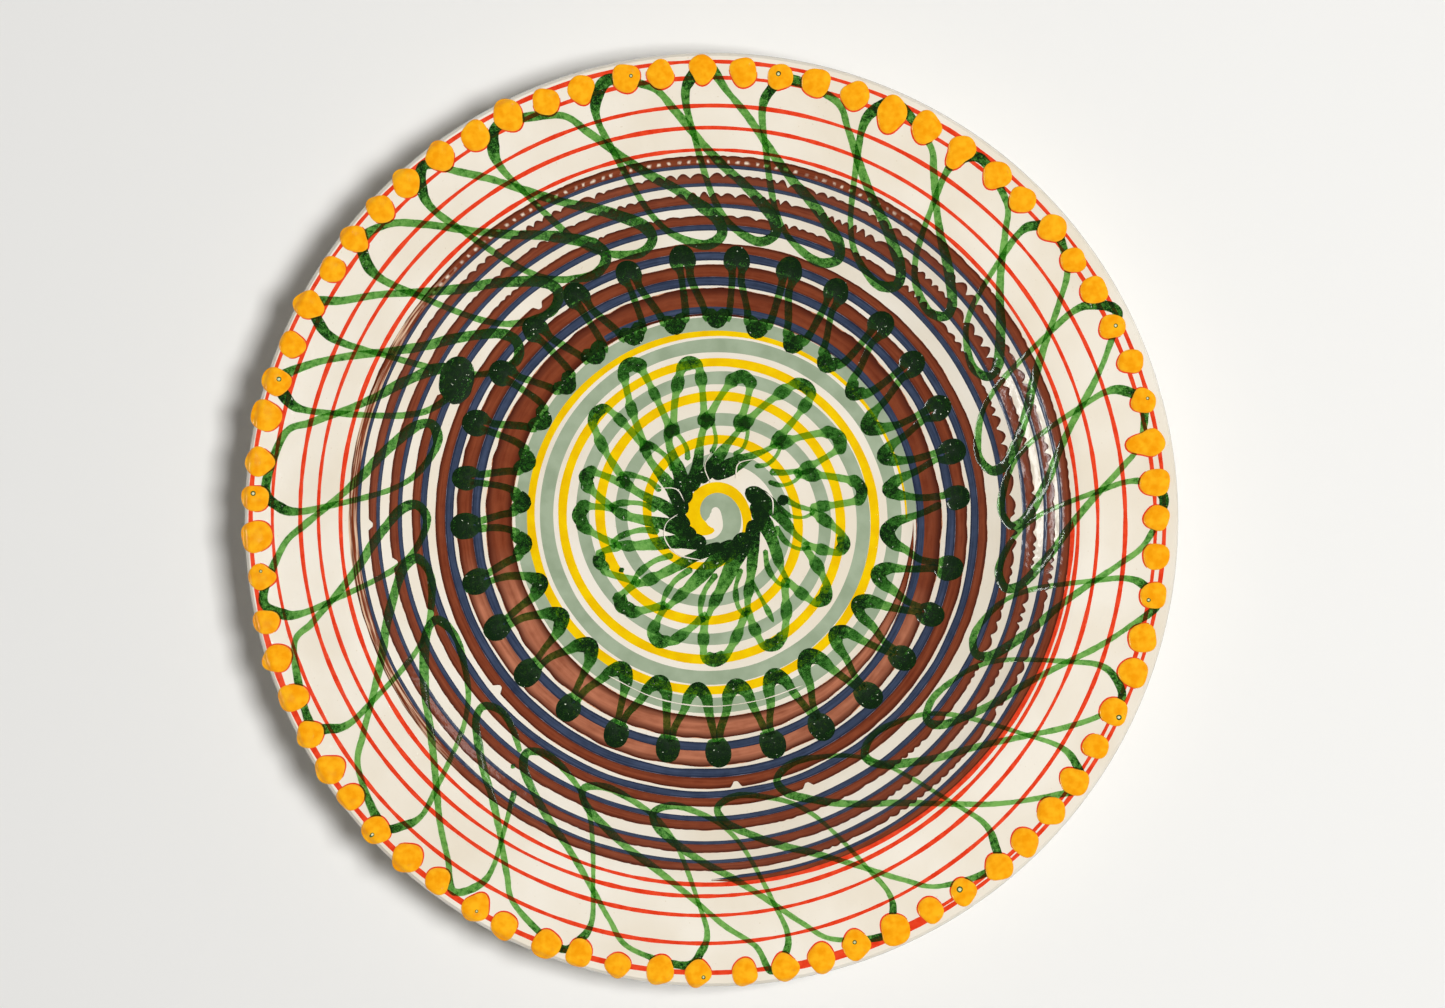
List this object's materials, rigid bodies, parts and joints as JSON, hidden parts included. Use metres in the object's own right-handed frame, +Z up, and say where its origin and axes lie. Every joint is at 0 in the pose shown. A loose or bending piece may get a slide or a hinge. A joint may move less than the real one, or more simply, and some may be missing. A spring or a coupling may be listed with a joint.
{
  "type": "decorative plate",
  "caption": "Wide-rimmed ceramic plate on a foot ring, with raised slip spirals, trailed green glaze loops, hairpins and rosette, and orange drops around the rim.",
  "frame": {"origin": "middle of the foot ring's resting face", "axes": "+Z up out of the dish, along the axis the plate was turned about; +X to the right and +Y to the top of the decoration as it is drawn from above"},
  "size_m": [0.38, 0.38, 0.0507],
  "materials": {
    "clay": "cream ground under clear glossy glaze on the face, bare buff clay on the foot ring",
    "red_slip": "glossy, opaque vermilion line",
    "brown_slip": "glossy, streaky brown band",
    "blue_slip": "glossy, dark blue line",
    "grey_slip": "glossy, pale grey-green band",
    "yellow_slip": "glossy, opaque yellow line",
    "green_glaze": "glossy, translucent mottled copper green",
    "orange_glaze": "glossy, opaque orange"
  },
  "bodies": {
    "root": {"clay_body": "clay", "red_slip_spiral": "red_slip", "brown_slip_spiral": "brown_slip", "blue_slip_spiral": "blue_slip", "grey_slip_spiral": "grey_slip", "yellow_slip_spiral": "yellow_slip", "green_rim_loops": "green_glaze", "green_wall_hairpins": "green_glaze", "green_centre_rosette": "green_glaze", "orange_drops_01": "orange_glaze", "orange_drops_02": "orange_glaze", "orange_drops_03": "orange_glaze", "orange_drops_04": "orange_glaze", "orange_drops_05": "orange_glaze", "orange_drops_06": "orange_glaze", "orange_drops_07": "orange_glaze", "orange_drops_08": "orange_glaze", "orange_drops_09": "orange_glaze", "orange_drops_10": "orange_glaze", "orange_drops_11": "orange_glaze", "orange_drops_12": "orange_glaze", "orange_drops_13": "orange_glaze", "orange_drops_14": "orange_glaze", "orange_drops_15": "orange_glaze", "orange_drops_16": "orange_glaze", "orange_drops_17": "orange_glaze", "orange_drops_18": "orange_glaze", "orange_drops_19": "orange_glaze", "orange_drops_20": "orange_glaze", "orange_drops_21": "orange_glaze", "orange_drops_22": "orange_glaze", "orange_drops_23": "orange_glaze", "orange_drops_24": "orange_glaze", "orange_drops_25": "orange_glaze", "orange_drops_26": "orange_glaze", "orange_drops_27": "orange_glaze", "orange_drops_28": "orange_glaze", "orange_drops_29": "orange_glaze", "orange_drops_30": "orange_glaze", "orange_drops_31": "orange_glaze", "orange_drops_32": "orange_glaze", "orange_drops_33": "orange_glaze", "orange_drops_34": "orange_glaze", "orange_drops_35": "orange_glaze", "orange_drops_36": "orange_glaze"}
  },
  "joints": []
}
